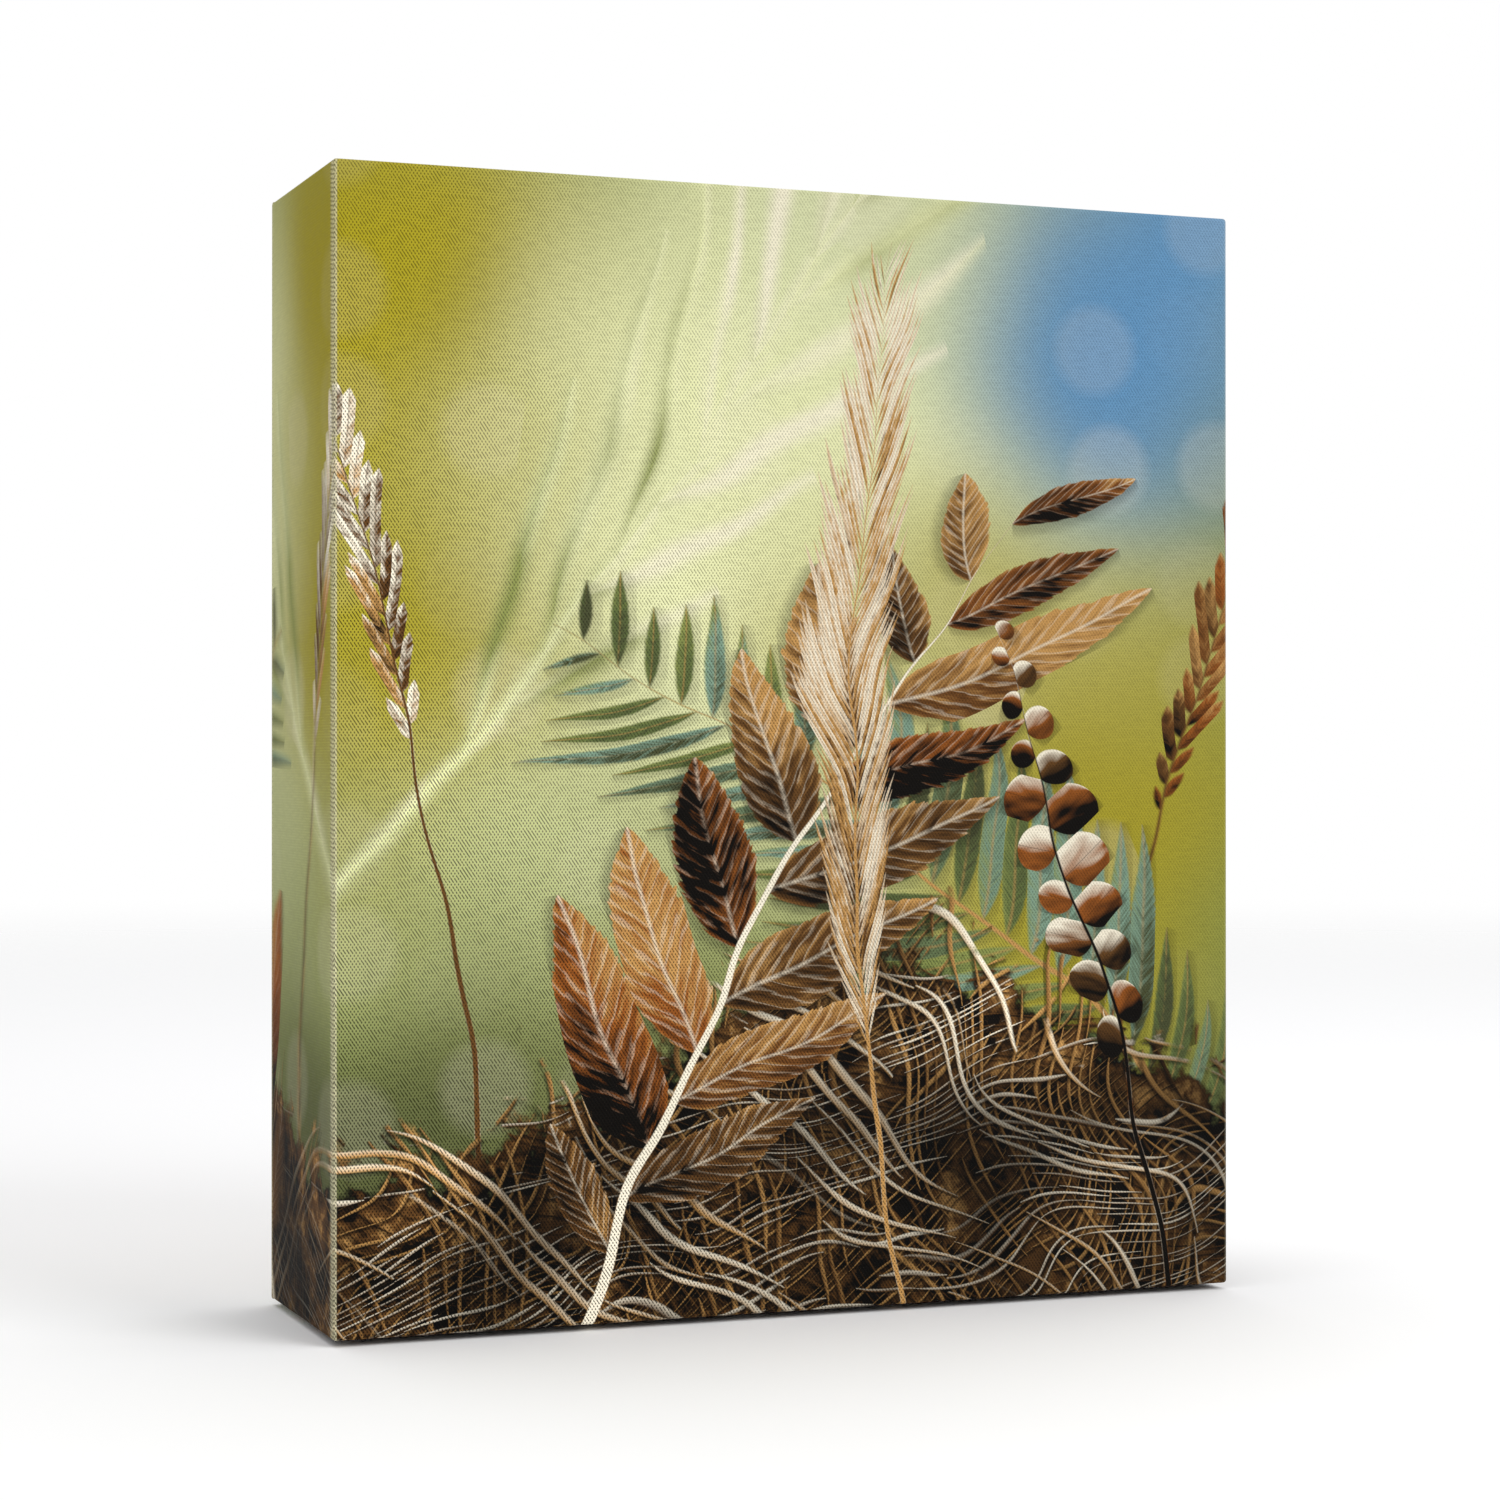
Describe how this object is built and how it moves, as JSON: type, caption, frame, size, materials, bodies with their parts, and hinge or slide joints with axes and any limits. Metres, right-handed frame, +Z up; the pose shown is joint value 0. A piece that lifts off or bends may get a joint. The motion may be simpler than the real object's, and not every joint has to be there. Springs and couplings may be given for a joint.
{
  "type": "stretched canvas print",
  "caption": "Gallery-wrapped canvas print: printed cloth stretched over mitred wooden bars, stapled behind, with a sawtooth hanger.",
  "frame": {"origin": "below the middle of the block, on the surface that the print stands on by its bottom side", "axes": "+Z up along the picture's height, +X to the right across the picture as it is looked at, +Y away from the picture towards the wall"},
  "size_m": [0.1524, 0.0436, 0.1794],
  "materials": {
    "canvas": "plain-woven cotton canvas, printed, matte",
    "pine": "planed pine, unvarnished",
    "staple_steel": "bright galvanised wire",
    "v_nail_steel": "oiled steel sheet",
    "hanger_steel": "zinc-plated steel sheet and nails"
  },
  "bodies": {
    "root": {"bar_bottom": "pine", "bar_left": "pine", "bar_right": "pine", "bar_top": "pine", "canvas": "canvas", "hanger_nail_left": "hanger_steel", "hanger_nail_right": "hanger_steel", "sawtooth_hanger": "hanger_steel", "staple_left_1": "staple_steel", "staple_left_2": "staple_steel", "staple_left_3": "staple_steel", "staple_left_4": "staple_steel", "staple_right_1": "staple_steel", "staple_right_2": "staple_steel", "staple_right_3": "staple_steel", "staple_right_4": "staple_steel", "staple_top_1": "staple_steel", "staple_top_2": "staple_steel", "staple_top_3": "staple_steel", "staple_bottom_1": "staple_steel", "staple_bottom_2": "staple_steel", "staple_bottom_3": "staple_steel", "staple_top_left": "staple_steel", "staple_top_right": "staple_steel", "staple_bottom_right": "staple_steel", "staple_bottom_left": "staple_steel", "v_nail_top_left_outer": "v_nail_steel", "v_nail_top_left_inner": "v_nail_steel", "v_nail_top_right_outer": "v_nail_steel", "v_nail_top_right_inner": "v_nail_steel", "v_nail_bottom_right_outer": "v_nail_steel", "v_nail_bottom_right_inner": "v_nail_steel", "v_nail_bottom_left_outer": "v_nail_steel", "v_nail_bottom_left_inner": "v_nail_steel"}
  },
  "joints": []
}
